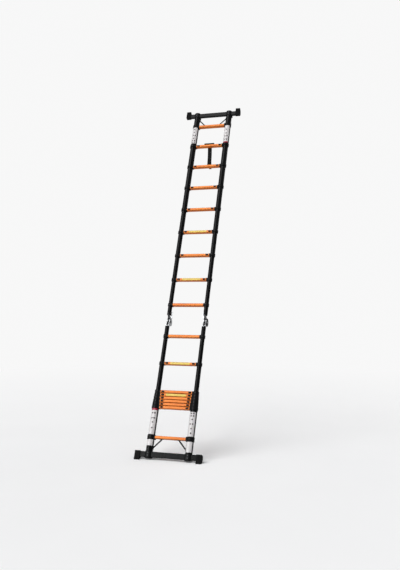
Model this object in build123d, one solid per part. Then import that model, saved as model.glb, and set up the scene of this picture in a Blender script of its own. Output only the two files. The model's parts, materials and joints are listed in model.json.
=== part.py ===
"""Folding telescopic ladder: two telescopic halves joined by a pair of locking hinges.

Each half is modelled in its own frame: X across the ladder, Y out of its back, Z up the
rails from its feet, with the rail centres in the plane Y = 0. The lower half is then leaned
back about X. The upper half is the same design turned half a turn about its back normal,
so that its feet point up, and set on the hinge axis. Millimetres throughout.
"""

import math
import os

from build123d import *

os.makedirs("parts", exist_ok=True)

# Driving dimensions
RUNG_PITCH = 300.0
FOOT_TO_RUNG = 215.0
LAST_RUNG_TO_HINGE = 180.0
STAGES = 8
STACK_PITCH = 32.0
COLLAPSED_STAGES = (2, 3, 4, 5, 6)
RAIL_SPACING = 403.0
LEAN_ANGLE = 65.4

TUBE_DIAMETER = 70.0
TUBE_STEP = 3.5
TUBE_WALL = 1.3
TUBE_BELOW_COLLAR = 376.0
SHOE_SPIGOT_TOP = 130.0
FIRST_TUBE_BOTTOM = 77.0

COLLAR_HEIGHT = 31.4
COLLAR_WALL = 5.0
COLLAR_LIP = 4.0
COLLAR_SEAT_GAP = 0.4
COLLAR_REACH = 9.0
COLLAR_DEPTH = 46.0
CLAMP_HEIGHT = 44.0
EDGE_BREAK = 1.2

RUNG_HEIGHT = 29.0
RUNG_DEPTH = 43.0
RUNG_CORNER = 6.0
RUNG_WALL = 2.0
GROOVE_PITCH = 6.0
GROOVE_WIDTH = 2.4
GROOVE_DEPTH = 0.8
GROOVES = 5

BUTTON_LENGTH = 32.0
BUTTON_HEIGHT = 16.0
BUTTON_PROUD = 5.0
BUTTON_CENTRE = 33.0
BUTTON_GAP = 0.3
BUTTON_FLANGE = 1.5
BUTTON_KEEPER = 2.0
BUTTON_ROUND = 2.0
BUTTON_PLAY = 0.2

BAR_LENGTH = 640.0
BAR_HEIGHT = 54.0
BAR_DEPTH = 30.0
BAR_WALL = 2.0
BAR_MID_Y = -8.0
BAR_MID_Z = 46.0
BAR_CORNER = 5.0

FOOT_OUTER_X = 341.5
FOOT_WIDTH = 56.0
FOOT_TOP = 76.0
FOOT_FRONT = -31.0
FOOT_BACK = 24.0
FOOT_HEEL_Z = 38.0
FOOT_BEVEL = (14.0, 24.0)
FOOT_ROUND = 6.0

SHOE_WIDTH = 74.0
SHOE_FRONT = -37.0
SHOE_BACK = 36.0
SHOE_HEEL_Y = 9.0
SHOE_BOTTOM = 12.0
SHOE_CORNER = 30.0
SHOE_BASE_ROUND = 4.0
BOLT_SPREAD = 13.0
BOLT_RADIUS = 4.0
BOLT_HEAD_RADIUS = 6.0
BOLT_HEAD_HEIGHT = 4.0
BOLT_HEAD_ROUND = 2.0

BRACE_TOP_X = 88.0
BRACE_DROP = 100.0
BRACE_WIDTH = 14.0
BRACE_THICKNESS = 3.0
BRACE_TAB = 32.0
BRACE_TAB_WIDTH = 18.0

HINGE_BACK = 46.0
HINGE_DISC_RADIUS = 44.0
HINGE_TUBE_GAP = 68.0
HINGE_PLUG = 60.0
HINGE_CAP = 4.0
CHEEK_INNER = 10.0
CHEEK_OUTER = 15.0
TONGUE_INNER = 3.0
TONGUE_OUTER = 9.0
HINGE_BORE_RADIUS = 14.0
HINGE_ROOT_FRONT = -12.0
HINGE_ROOT_BACK = 14.0
HINGE_ROOT_RISE = 14.0
PIN_RADIUS = 8.0
PIN_CLEARANCE = 0.2
PIN_HEAD_RADIUS = 11.0
PIN_HEAD = 3.0
PIN_OUTER_HEAD_X = -18.0
PIN_INNER_HEAD_X = 19.0
LEVER_INNER = 15.5
LEVER_OUTER = 18.5
LEVER_RING_RADIUS = 16.0
LEVER_ARM = (14.0, 52.0)
LEVER_ARM_TURN = -35.0
LEVER_ARM_DROP = 21.0
LEVER_PAD_X = (22.0, 34.0)
LEVER_PAD_Y = (12.0, 15.0)
LEVER_PAD_DROP = (104.0, 40.0)
LEVER_STEP_DROP = (46.0, 34.0)
LEVER_STEP_BACK = 24.0

STRAP_WIDTH = 50.0
STRAP_BAND = 125.0
STRAP_THICKNESS = 3.0
STRAP_DROP = 265.0
STRAP_GAP = 0.4
STRAP_ROLL = 18.0

# Worked out from them
HALF_SPACING = RAIL_SPACING / 2
LEAN = math.radians(LEAN_ANGLE)
STAND_UP = (Align.CENTER, Align.CENTER, Align.MIN)
RUNGS = STAGES + 1


def tube_radius(stage):
    """Outer radius of one stage's tubes."""
    return (TUBE_DIAMETER - TUBE_STEP * (stage - 1)) / 2


def rung_stage(rung):
    """The stage that carries a rung: the first two rungs share the first stage."""
    return max(1, rung - 1)


def rung_heights(collapsed):
    """Height of each rung above the feet, for a set of collapsed stages."""
    heights = {1: FOOT_TO_RUNG}
    for rung in range(2, RUNGS + 1):
        pitch = STACK_PITCH if rung_stage(rung) in collapsed else RUNG_PITCH
        heights[rung] = heights[rung - 1] + pitch
    return heights


def both_rails(left_piece):
    """A piece at the left rail and its mirror image at the right rail."""
    return [left_piece, mirror(left_piece, Plane.YZ)]


def block(x, y, z):
    """A box between two values of each coordinate."""
    size = Box(x[1] - x[0], y[1] - y[0], z[1] - z[0])
    return Pos((x[0] + x[1]) / 2, (y[0] + y[1]) / 2, (z[0] + z[1]) / 2) * size


def post(x, radius, bottom, top):
    """A round post up the ladder."""
    return Pos(x, 0, bottom) * Cylinder(radius, top - bottom, align=STAND_UP)


def rod(radius, x, y, z):
    """A round rod across the ladder, from x[0] to x[1]."""
    return Pos((x[0] + x[1]) / 2, y, z) * Rot(0, 90, 0) * Cylinder(radius, x[1] - x[0])


def plate(outline, x):
    """A plate across X, from x[0] to x[1], cut to a sketch drawn in (Y, Z)."""
    return Pos(x[0], 0, 0) * extrude(Plane.YZ * outline, amount=x[1] - x[0])


def slot(x, y, z, length, height):
    """A bar with round ends, centred at (x, z) and reaching from y[0] to y[1]."""
    outline = Plane.XZ * Pos(x, z) * SlotOverall(length, height)
    return Pos(0, y[1], 0) * extrude(outline, amount=y[1] - y[0])


def stage_tube(stage, bottom, top):
    """One stage's tube at the left rail."""
    radius = tube_radius(stage)
    outside = post(-HALF_SPACING, radius, bottom, top)
    return outside - post(-HALF_SPACING, radius - TUBE_WALL, bottom - 1, top + 1)


def collar_block(radius, depth, height, middle):
    """The outside of a collar at the left rail, with its boss towards the rung."""
    ring = Circle(radius + COLLAR_WALL)
    boss = Pos(radius / 2 + COLLAR_REACH / 2, 0) * Rectangle(radius + COLLAR_REACH, depth)
    solid = extrude(ring + boss, amount=height)
    rims = solid.faces().sort_by(Axis.Z)
    solid = chamfer(rims[0].edges() + rims[-1].edges(), EDGE_BREAK)
    return Pos(-HALF_SPACING, 0, middle - height / 2) * solid


def rung_spigot(radius, middle):
    """The tongue of a collar that fills the back of the rung's hollow end."""
    start = -HALF_SPACING + radius + COLLAR_REACH
    reach = (start - 1, start + 12)
    half_height = RUNG_HEIGHT / 2 - RUNG_WALL - 0.3
    return block(reach, (-2, 15), (middle - half_height, middle + half_height))


def telescope_collar(stage, middle):
    """The collar on top of a stage's tube, which guides the next stage."""
    radius = tube_radius(stage)
    bottom = middle - COLLAR_HEIGHT / 2
    top = middle + COLLAR_HEIGHT / 2
    solid = collar_block(radius, COLLAR_DEPTH, COLLAR_HEIGHT, middle)
    solid = solid - post(-HALF_SPACING, radius, bottom - 1, top - COLLAR_LIP)
    bore = tube_radius(stage + 1) + COLLAR_SEAT_GAP
    return solid - post(-HALF_SPACING, bore, bottom, top + 1) + rung_spigot(radius, middle)


def clamp_collar(stage, middle, height):
    """A collar clamped part way along a tube."""
    radius = tube_radius(stage)
    solid = collar_block(radius, COLLAR_DEPTH, height, middle)
    solid = solid - post(-HALF_SPACING, radius, middle - height, middle + height)
    return solid + rung_spigot(radius, middle)


def stage_pieces(stage, heights, length):
    """The tubes and collars of one stage, as separate solids."""
    if stage == STAGES:
        top = length - HINGE_TUBE_GAP
        bottom = heights[RUNGS] - TUBE_BELOW_COLLAR
        collars = [clamp_collar(stage, heights[RUNGS], COLLAR_HEIGHT)]
    else:
        carried = heights[stage + 1]
        top = carried + COLLAR_HEIGHT / 2 - COLLAR_LIP
        bottom = carried - TUBE_BELOW_COLLAR if stage > 1 else FIRST_TUBE_BOTTOM
        collars = [telescope_collar(stage, carried)]
    if stage == 1:
        collars.append(clamp_collar(1, heights[1], CLAMP_HEIGHT))
    pieces = []
    for piece in [stage_tube(stage, bottom, top)] + collars:
        pieces += both_rails(piece)
    return pieces


def rung_profile():
    """Hollow rung section in (Y, Z), grooved along its upper and lower faces."""
    outline = RectangleRounded(RUNG_DEPTH, RUNG_HEIGHT, RUNG_CORNER)
    for index in range(GROOVES):
        y = (index - (GROOVES - 1) / 2) * GROOVE_PITCH
        for z in (-RUNG_HEIGHT / 2, RUNG_HEIGHT / 2):
            outline = outline - Pos(y, z) * Rectangle(GROOVE_WIDTH, 2 * GROOVE_DEPTH)
    hollow_depth = RUNG_DEPTH - 2 * RUNG_WALL
    hollow_height = RUNG_HEIGHT - 2 * RUNG_WALL
    return outline - RectangleRounded(hollow_depth, hollow_height, RUNG_CORNER - RUNG_WALL)


def rung(number, middle):
    """One rung, cut out for its two release buttons where it has them."""
    radius = tube_radius(rung_stage(number))
    end = HALF_SPACING - radius - COLLAR_REACH
    solid = Pos(0, 0, middle) * plate(rung_profile(), (-end, end))
    if 1 < number < RUNGS:
        size = (BUTTON_LENGTH + 2 * BUTTON_GAP, BUTTON_HEIGHT + 2 * BUTTON_GAP)
        for x in button_centres(number):
            solid = solid - slot(x, (-RUNG_DEPTH / 2 - 1, 0), middle, *size)
    return solid


def button_centres(number):
    """Where a rung's two release buttons sit across the ladder."""
    x = HALF_SPACING - tube_radius(rung_stage(number)) - BUTTON_CENTRE
    return (-x, x)


def buttons(number, middle):
    """The pair of release buttons of one rung, each with its keeper flange."""
    front = -RUNG_DEPTH / 2
    inner_wall = front + RUNG_WALL + BUTTON_PLAY
    pieces = []
    flange_size = (BUTTON_LENGTH + 2 * BUTTON_FLANGE, BUTTON_HEIGHT + 2 * BUTTON_FLANGE)
    for x in button_centres(number):
        cap_y = (front - BUTTON_PROUD, inner_wall + BUTTON_KEEPER)
        cap = slot(x, cap_y, middle, BUTTON_LENGTH, BUTTON_HEIGHT)
        cap = fillet(cap.faces().sort_by(Axis.Y)[0].edges(), BUTTON_ROUND)
        keeper_y = (inner_wall, inner_wall + BUTTON_KEEPER)
        pieces.append(cap + slot(x, keeper_y, middle, *flange_size))
    return pieces


def bar_section(inset):
    """Section of the stabiliser bar in (Y, Z), shrunk by an inset."""
    size = (BAR_DEPTH - 2 * inset, BAR_HEIGHT - 2 * inset)
    return Pos(BAR_MID_Y, BAR_MID_Z) * RectangleRounded(*size, BAR_CORNER - inset)


def stabiliser_bar():
    """The rectangular tube across the feet."""
    ends = (-BAR_LENGTH / 2, BAR_LENGTH / 2)
    solid = plate(bar_section(0), ends) - plate(bar_section(BAR_WALL), ends)
    for z in shoe_bolt_heights():
        for shank in both_rails(bolt_shank(z)):
            solid = solid - shank
    return solid


def sole_height(y):
    """Height in the half's frame at which the floor meets a leaning foot."""
    return y / math.tan(LEAN)


def rubber_foot():
    """The rubber boot on the left end of the bar, bevelled for the floor and for a wall."""
    toe = (FOOT_FRONT, sole_height(FOOT_FRONT))
    wall_slope = math.tan(LEAN)
    heel_y = (FOOT_HEEL_Z - wall_slope * FOOT_BACK) / (1 / wall_slope - wall_slope)
    corners = [
        toe,
        (heel_y, sole_height(heel_y)),
        (FOOT_BACK, FOOT_HEEL_Z),
        (FOOT_BACK, FOOT_TOP - FOOT_BEVEL[1]),
        (FOOT_BACK - FOOT_BEVEL[0], FOOT_TOP),
        (FOOT_FRONT, FOOT_TOP),
    ]
    outline = make_face(Polyline(*corners, close=True))
    outer = -FOOT_OUTER_X
    solid = plate(outline, (outer, outer + FOOT_WIDTH))
    solid = fillet(solid.faces().sort_by(Axis.X)[0].edges(), FOOT_ROUND)
    return solid - plate(bar_section(0), (-BAR_LENGTH / 2, outer + FOOT_WIDTH + 1))


def foot_shoe():
    """The left bracket that carries the bar and plugs into the first tube."""
    half = SHOE_WIDTH / 2
    x_span = (-HALF_SPACING - half, -HALF_SPACING + half)
    back_z = SHOE_BOTTOM + (SHOE_BACK - SHOE_HEEL_Y) * math.tan(LEAN)
    corners = [
        (SHOE_FRONT, SHOE_BOTTOM),
        (SHOE_HEEL_Y, SHOE_BOTTOM),
        (SHOE_BACK, back_z),
        (SHOE_BACK, FIRST_TUBE_BOTTOM),
        (SHOE_FRONT, FIRST_TUBE_BOTTOM),
    ]
    solid = plate(make_face(Polyline(*corners, close=True)), x_span)
    solid = fillet(solid.edges().filter_by(Axis.Z).sort_by(Axis.Y)[:2], SHOE_CORNER)
    solid = fillet(solid.faces().sort_by(Axis.Z)[0].edges(), SHOE_BASE_ROUND)
    radius = tube_radius(1)
    solid = solid - plate(bar_section(0), (x_span[0] - 1, x_span[1] + 1))
    spigot = post(-HALF_SPACING, radius - TUBE_WALL, FIRST_TUBE_BOTTOM - 1, SHOE_SPIGOT_TOP)
    solid = solid + spigot
    for z in shoe_bolt_heights():
        solid = solid - bolt_shank(z)
    return solid


def shoe_bolt_heights():
    """Heights of the two bolts of a shoe, which pass through the bar."""
    return (BAR_MID_Z - BOLT_SPREAD, BAR_MID_Z + BOLT_SPREAD)


def bolt_shank(z):
    """A bolt's shank, front to back through the left shoe and the bar."""
    length = SHOE_BACK - SHOE_FRONT
    middle = (SHOE_BACK + SHOE_FRONT) / 2
    return Pos(-HALF_SPACING, middle, z) * Rot(90, 0, 0) * Cylinder(BOLT_RADIUS, length)


def shoe_bolt(z):
    """A bolt with its domed head in front of the shoe."""
    turned = Pos(-HALF_SPACING, SHOE_FRONT - BOLT_HEAD_HEIGHT / 2, z) * Rot(90, 0, 0)
    head = turned * Cylinder(BOLT_HEAD_RADIUS, BOLT_HEAD_HEIGHT)
    head = fillet(head.faces().sort_by(Axis.Y)[0].edges(), BOLT_HEAD_ROUND)
    return head + bolt_shank(z)


def brace():
    """The flat strip from the first rung's underside down to the left rail."""
    top_z = FOOT_TO_RUNG - RUNG_HEIGHT / 2
    rail_x = -HALF_SPACING + tube_radius(1)
    low_z = FOOT_TO_RUNG - BRACE_DROP
    half = BRACE_THICKNESS / 2
    line = Polyline((rail_x + 1, low_z), (-BRACE_TOP_X, top_z - half))
    strip = Plane.XZ * trace(line, BRACE_WIDTH)
    solid = Pos(0, half, 0) * extrude(strip, amount=BRACE_THICKNESS)
    reach = BRACE_TAB / 2
    tab_y = (-BRACE_TAB_WIDTH / 2, BRACE_TAB_WIDTH / 2)
    top_x = (-BRACE_TOP_X - reach, -BRACE_TOP_X + reach)
    solid = solid + block(top_x, tab_y, (top_z - BRACE_THICKNESS, top_z + 5))
    low_x = (rail_x - 5, rail_x + BRACE_THICKNESS)
    solid = solid + block(low_x, tab_y, (low_z - reach, low_z + reach))
    solid = solid - post(-HALF_SPACING, tube_radius(1), 0, FOOT_TO_RUNG)
    rung_body = block((-BRACE_TOP_X - 30, -BRACE_TOP_X + 30), (-20, 20), (top_z, top_z + 20))
    return solid - rung_body


def hinge_outline(axis_z):
    """Outline in (Y, Z) of a hinge plate that reaches from a tube's end to the axis."""
    base = axis_z - HINGE_TUBE_GAP + HINGE_CAP - 1
    corners = [
        (HINGE_ROOT_FRONT, base),
        (HINGE_ROOT_FRONT, base + HINGE_ROOT_RISE),
        (4, axis_z - 8),
        (HINGE_BACK, axis_z),
        (HINGE_BACK - 4, axis_z - 40),
        (HINGE_ROOT_BACK, base),
    ]
    disc = Pos(HINGE_BACK, axis_z) * Circle(HINGE_DISC_RADIUS)
    return make_face(Polyline(*corners, close=True)) + disc


def hinge_root(axis_z):
    """The hollow plug in the end of the last tube, with the flange that closes it."""
    end = axis_z - HINGE_TUBE_GAP
    radius = tube_radius(STAGES)
    plug = post(-HALF_SPACING, radius - TUBE_WALL, end - HINGE_PLUG, end + 1)
    plug = plug + post(-HALF_SPACING, radius, end, end + HINGE_CAP)
    return plug - post(-HALF_SPACING, HINGE_BORE_RADIUS, end - HINGE_PLUG - 1, end)


def hinge_plate(outline, x, bore, axis_z):
    """One plate of the left hinge, bored for the pin."""
    x_span = (-HALF_SPACING + x[0], -HALF_SPACING + x[1])
    return plate(outline, x_span) - rod(bore, (x_span[0] - 1, x_span[1] + 1), HINGE_BACK, axis_z)


def fork_hinge(axis_z):
    """The lower half's hinge leaf: two cheeks and the pin."""
    solid = hinge_root(axis_z)
    outline = hinge_outline(axis_z)
    for x in ((-CHEEK_OUTER, -CHEEK_INNER), (CHEEK_INNER, CHEEK_OUTER)):
        solid = solid + hinge_plate(outline, x, PIN_RADIUS, axis_z)
    heads = (-HALF_SPACING + PIN_OUTER_HEAD_X, -HALF_SPACING + PIN_INNER_HEAD_X)
    pin = rod(PIN_RADIUS, (heads[0], heads[1] + PIN_HEAD), HINGE_BACK, axis_z)
    for x in heads:
        pin = pin + rod(PIN_HEAD_RADIUS, (x, x + PIN_HEAD), HINGE_BACK, axis_z)
    return [solid, pin]


def tongue_hinge(axis_z):
    """The upper half's hinge leaf: two inner plates between the other leaf's cheeks."""
    solid = hinge_root(axis_z)
    bore = PIN_RADIUS + PIN_CLEARANCE
    for x in ((-TONGUE_OUTER, -TONGUE_INNER), (TONGUE_INNER, TONGUE_OUTER)):
        solid = solid + hinge_plate(hinge_outline(axis_z), x, bore, axis_z)
    return solid


def release_lever(axis_z):
    """The lever beside the left hinge that draws its lock, on the ladder's inner side."""
    span = (-HALF_SPACING + LEVER_INNER, -HALF_SPACING + LEVER_OUTER)
    ring = Pos(HINGE_BACK, axis_z) * Circle(LEVER_RING_RADIUS)
    arm = Pos(HINGE_BACK - LEVER_RING_RADIUS, axis_z - LEVER_ARM_DROP)
    arm = arm * Rot(0, 0, LEVER_ARM_TURN) * Rectangle(*LEVER_ARM)
    solid = plate(ring + arm, span)
    step_z = tuple(axis_z - drop for drop in LEVER_STEP_DROP)
    pad_x = tuple(-HALF_SPACING + x for x in LEVER_PAD_X)
    solid = solid + block((span[0], pad_x[1]), (LEVER_PAD_Y[0], LEVER_STEP_BACK), step_z)
    pad_z = tuple(axis_z - drop for drop in LEVER_PAD_DROP)
    solid = solid + block(pad_x, LEVER_PAD_Y, pad_z)
    bore = PIN_RADIUS + PIN_CLEARANCE
    return solid - rod(bore, (span[0] - 1, span[1] + 1), HINGE_BACK, axis_z)


def carry_strap(middle):
    """The webbing strap: a folded roll on the side of a rung that faces the feet, and a free
    end that passes behind the rung and hangs plumb."""
    back = RUNG_DEPTH / 2 + STRAP_GAP
    lying = middle - RUNG_HEIGHT / 2 - STRAP_GAP
    roll_x = (-STRAP_BAND / 2, STRAP_BAND / 2)
    roll_front = -RUNG_DEPTH / 2
    roll = block(roll_x, (roll_front, roll_front + STRAP_WIDTH), (lying - STRAP_ROLL, lying))
    tail_x = (-STRAP_WIDTH / 2, STRAP_WIDTH / 2)
    link = block(tail_x, (back, back + STRAP_THICKNESS), (lying - STRAP_ROLL, middle))
    plumb = Pos(0, back, middle) * Rot(LEAN_ANGLE - 90, 0, 0)
    return roll + link + plumb * block(tail_x, (0, STRAP_THICKNESS), (0, STRAP_DROP))


def half_nodes(side, collapsed):
    """Every node of one half, in that half's own frame, and the height of its hinge axis."""
    heights = rung_heights(collapsed)
    length = heights[RUNGS] + LAST_RUNG_TO_HINGE
    nodes = {}
    for stage in range(1, STAGES + 1):
        nodes[f"{side}_stage_{stage}_rails"] = stage_pieces(stage, heights, length)
    for number in range(1, RUNGS + 1):
        nodes[f"{side}_rung_{number}"] = [rung(number, heights[number])]
        if 1 < number < RUNGS:
            nodes[f"{side}_rung_{number}_buttons"] = buttons(number, heights[number])
    bolts = [shoe_bolt(z) for z in shoe_bolt_heights()]
    shoes = both_rails(foot_shoe())
    for bolt in bolts:
        shoes += both_rails(bolt)
    nodes[f"{side}_stabiliser_bar"] = [stabiliser_bar()]
    nodes[f"{side}_rubber_feet"] = both_rails(rubber_foot())
    nodes[f"{side}_foot_shoes"] = shoes
    nodes[f"{side}_braces"] = both_rails(brace())
    return nodes, heights, length


def mirrored_group(pieces):
    """The same pieces at both rails."""
    group = []
    for piece in pieces:
        group += both_rails(piece)
    return group


def write_node(name, pieces, place):
    """Put a node's solids in place and write them as one STEP file."""
    solids = []
    for piece in pieces:
        solids += (place * piece).solids()
    export_step(Compound(children=solids), f"parts/{name}.step")


lower, lower_heights, lower_length = half_nodes("lower", COLLAPSED_STAGES)
upper, upper_heights, upper_length = half_nodes("upper", ())
lower["lower_hinge_leaves"] = mirrored_group(fork_hinge(lower_length))
upper["upper_hinge_leaves"] = both_rails(tongue_hinge(upper_length))
upper["hinge_release_levers"] = both_rails(release_lever(upper_length))
upper["carry_strap"] = [carry_strap(upper_heights[2])]

lean_back = Rot(LEAN_ANGLE - 90, 0, 0)
turn_over = Pos(0, 0, lower_length + upper_length) * Rot(0, 180, 0)
for name, pieces in lower.items():
    write_node(name, pieces, lean_back)
for name, pieces in upper.items():
    write_node(name, pieces, lean_back * turn_over)
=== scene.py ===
"""Looks of the folding telescopic ladder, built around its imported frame.

Every sub-assembly is a class that dresses its CAD nodes and models its own small pieces.
A half of the ladder has its own frame: X across, Y out of the ladder's back, Z up the
rails from that half's feet. The lower half is leaned back; the upper half is the same
design turned half a turn about the back normal, so that its feet point up.
"""

from __future__ import annotations

import json
import logging
import math
from collections.abc import Callable, Iterable
from dataclasses import dataclass, field
from enum import Enum

import bmesh
import bpy
from mathutils import Matrix, Quaternion, Vector

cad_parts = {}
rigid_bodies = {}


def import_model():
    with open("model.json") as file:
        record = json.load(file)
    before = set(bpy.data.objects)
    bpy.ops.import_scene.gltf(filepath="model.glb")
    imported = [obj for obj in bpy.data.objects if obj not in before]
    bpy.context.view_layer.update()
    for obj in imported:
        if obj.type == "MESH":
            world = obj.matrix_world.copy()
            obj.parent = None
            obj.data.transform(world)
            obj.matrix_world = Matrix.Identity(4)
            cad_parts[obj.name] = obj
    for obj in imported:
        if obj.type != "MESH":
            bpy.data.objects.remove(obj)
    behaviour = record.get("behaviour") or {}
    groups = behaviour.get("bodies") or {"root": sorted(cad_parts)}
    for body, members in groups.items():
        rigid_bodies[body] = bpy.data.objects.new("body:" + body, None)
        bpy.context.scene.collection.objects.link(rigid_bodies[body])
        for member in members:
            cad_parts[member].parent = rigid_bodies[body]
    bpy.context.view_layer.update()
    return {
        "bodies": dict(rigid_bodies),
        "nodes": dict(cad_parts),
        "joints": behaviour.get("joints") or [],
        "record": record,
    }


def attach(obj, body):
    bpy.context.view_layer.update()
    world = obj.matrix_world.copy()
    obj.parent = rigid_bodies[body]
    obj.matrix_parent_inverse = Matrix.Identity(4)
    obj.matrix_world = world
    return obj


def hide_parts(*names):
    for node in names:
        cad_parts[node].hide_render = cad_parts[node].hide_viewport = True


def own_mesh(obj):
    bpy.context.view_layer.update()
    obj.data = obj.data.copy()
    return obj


Material = bpy.types.Material
Pair = tuple[float, float]
Piece = bpy.types.Object
Socket = bpy.types.NodeSocket
Triple = tuple[float, float, float]

LOG = logging.getLogger("ladder")
MM = 0.001


class Side(Enum):
    """The two telescopic halves."""

    LOWER = "lower"
    UPPER = "upper"


class Rail(Enum):
    """The two rails, by the sign of X in a half's own frame."""

    LEFT = -1
    RIGHT = 1


@dataclass(frozen=True)
class Layout:
    """Where the stages and rungs are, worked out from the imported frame.

    Args:
        lean: angle of the rails above the floor, in radians.
        total: length of both halves together, from sole to sole, in metres.
        rail_x: distance of a rail's centre line from the middle, in metres.
    """

    lean: float
    total: float
    rail_x: float = 0.2015
    first_radius: float = 0.035
    radius_step: float = 0.00175
    foot_to_rung: float = 0.215
    pitch: float = 0.300
    stack_pitch: float = 0.032
    stacked: tuple[int, ...] = (2, 3, 4, 5, 6)
    last_rung_to_hinge: float = 0.180
    hinge_back: float = 0.046
    rung_depth: float = 0.043
    rung_height: float = 0.029

    @classmethod
    def from_frame(cls, frame: dict) -> Layout:
        """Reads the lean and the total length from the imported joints.


        Returns:
            The layout of the ladder at rest.
        """
        joints = {joint["name"]: joint for joint in frame["joints"]}
        _, across, rise = joints["lower_slide_2"]["axis"]
        lean = math.atan2(rise, across)
        _, hinge_y, hinge_z = joints["ladder_fold"]["pos_m"]
        lower_length = hinge_y * across + hinge_z * rise
        upper_length = cls.foot_to_rung + 8 * cls.pitch + cls.last_rung_to_hinge
        return cls(lean=lean, total=lower_length + upper_length)

    def radius(self, stage: int) -> float:
        """Outer radius of a stage's tubes."""
        return self.first_radius - self.radius_step * (stage - 1)

    def rung_height_up(self, side: Side, rung: int) -> float:
        """Height of a rung above its own half's feet."""
        height = self.foot_to_rung
        for number in range(2, rung + 1):
            stacked = side is Side.LOWER and number - 1 in self.stacked
            height += self.stack_pitch if stacked else self.pitch
        return height

    def matrix(self, side: Side) -> Matrix:
        """Turns a half's own frame into the row frame."""
        lean_back = Matrix.Rotation(self.lean - math.pi / 2, 4, "X")
        if side is Side.LOWER:
            return lean_back
        turn_over = Matrix.Translation((0, 0, self.total)) @ Matrix.Rotation(math.pi, 4, "Y")
        return lean_back @ turn_over


class Bench:
    """Small wrappers round the modelling operators."""

    @staticmethod
    def clear_selection() -> None:
        """Deselects everything in object mode."""
        bpy.ops.object.select_all(action="DESELECT")

    @staticmethod
    def edit(piece: Piece, pick: Callable[[bmesh.types.BMFace], bool]) -> None:
        """Enters edit mode with only the faces that pick accepts selected.

        Args:
            piece: the mesh object to edit.
            pick: says whether a face is selected.
        """
        Bench.clear_selection()
        bpy.context.view_layer.objects.active = piece
        piece.select_set(True)
        bpy.ops.object.mode_set(mode="EDIT")
        bpy.ops.mesh.select_mode(type="FACE")
        bpy.ops.mesh.select_all(action="DESELECT")
        mesh = bmesh.from_edit_mesh(piece.data)
        for face in mesh.faces:
            face.select_set(pick(face))
        bmesh.update_edit_mesh(piece.data)

    @staticmethod
    def leave() -> None:
        """Goes back to object mode."""
        bpy.ops.object.mode_set(mode="OBJECT")

    @staticmethod
    def cube(name: str, centre: Vector, size: Triple) -> Piece:
        """Adds a box at its size and place.

        Args:
            name: the piece's name.
            centre: its centre, in metres.
            size: its size along X, Y and Z.

        Returns:
            The new object, with its place in its mesh.
        """
        Bench.clear_selection()
        bpy.ops.mesh.primitive_cube_add(size=1, location=centre, scale=size)
        return Bench.named(name)

    @staticmethod
    def disc(
        name: str, centre: Vector, radius: float, depth: float, turn: Triple,
        sides: int,
    ) -> Piece:
        """Adds a short cylinder at its size and place.

        Args:
            name: the piece's name.
            centre: its centre, in metres.
            radius: its radius.
            depth: its length along its axis.
            turn: Euler angles that turn its axis from Z.
            sides: how many flats its rim has.

        Returns:
            The new object, with its place in its mesh.
        """
        Bench.clear_selection()
        bpy.ops.mesh.primitive_cylinder_add(
            vertices=sides, radius=radius, depth=depth, location=centre, rotation=turn
        )
        return Bench.named(name)

    @staticmethod
    def named(name: str) -> Piece:
        """Names the active object and moves its place into its mesh."""
        piece = bpy.context.active_object
        piece.name = name
        piece.data.name = name
        bpy.ops.object.transform_apply(location=True, rotation=True, scale=True)
        return piece

    @staticmethod
    def bevel(piece: Piece, width: float, segments: int = 2, angle: float = 40) -> None:
        """Rounds a piece's sharp edges for good.

        Args:
            piece: the mesh object.
            width: the bevel's width, in metres.
            segments: how many facets round it.
            angle: edges sharper than this, in degrees, are rounded.
        """
        modifier = piece.modifiers.new("round", "BEVEL")
        modifier.width = width
        modifier.segments = segments
        modifier.limit_method = "ANGLE"
        modifier.angle_limit = math.radians(angle)
        modifier.harden_normals = False
        Bench.apply(piece, modifier)

    @staticmethod
    def apply(piece: Piece, modifier: bpy.types.Modifier) -> None:
        """Applies one modifier."""
        Bench.clear_selection()
        bpy.context.view_layer.objects.active = piece
        piece.select_set(True)
        bpy.ops.object.modifier_apply(modifier=modifier.name)

    @staticmethod
    def smooth(piece: Piece, angle: float = 35) -> None:
        """Smooth shading that keeps edges sharper than the angle, in degrees."""
        Bench.clear_selection()
        bpy.context.view_layer.objects.active = piece
        piece.select_set(True)
        bpy.ops.object.shade_smooth_by_angle(angle=math.radians(angle))

    @staticmethod
    def join(pieces: list[Piece], name: str) -> Piece:
        """Joins loose shells into one named piece.

        Args:
            pieces: the objects to join.
            name: the joined piece's name.

        Returns:
            The joined object.
        """
        Bench.clear_selection()
        for piece in pieces:
            piece.select_set(True)
        bpy.context.view_layer.objects.active = pieces[0]
        if len(pieces) > 1:
            bpy.ops.object.join()
        joined = bpy.context.active_object
        joined.name = name
        joined.data.name = name
        return joined


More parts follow.
